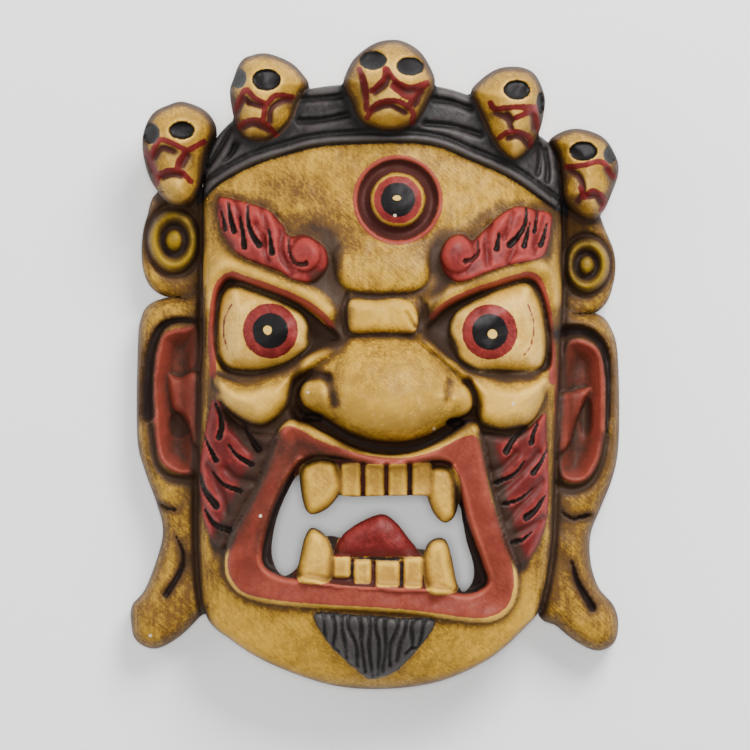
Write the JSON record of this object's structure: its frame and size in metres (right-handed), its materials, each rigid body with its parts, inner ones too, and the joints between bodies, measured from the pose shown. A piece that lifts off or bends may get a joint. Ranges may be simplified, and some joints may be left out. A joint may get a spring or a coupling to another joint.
{
  "type": "carved wooden cham dance mask",
  "caption": "Painted wooden Tibetan cham dance mask: a wrathful face with a third eye, a fanged open mouth, disc earrings and a skull crown, hollowed behind.",
  "frame": {"origin": "middle of the mask's footprint, on the plane of its flat back rim", "axes": "+Z out of the carved face, away from the wearer; +Y to the crown of skulls; +X to the viewer's right"},
  "size_m": [0.2468, 0.3256, 0.0986],
  "materials": {
    "painted_wood": "carved softwood, painted in ochre, red, salmon, yellow and black, rubbed back, with a brown antiquing wash and a satin wax"
  },
  "bodies": {
    "root": {"mask": "painted_wood"}
  },
  "joints": []
}
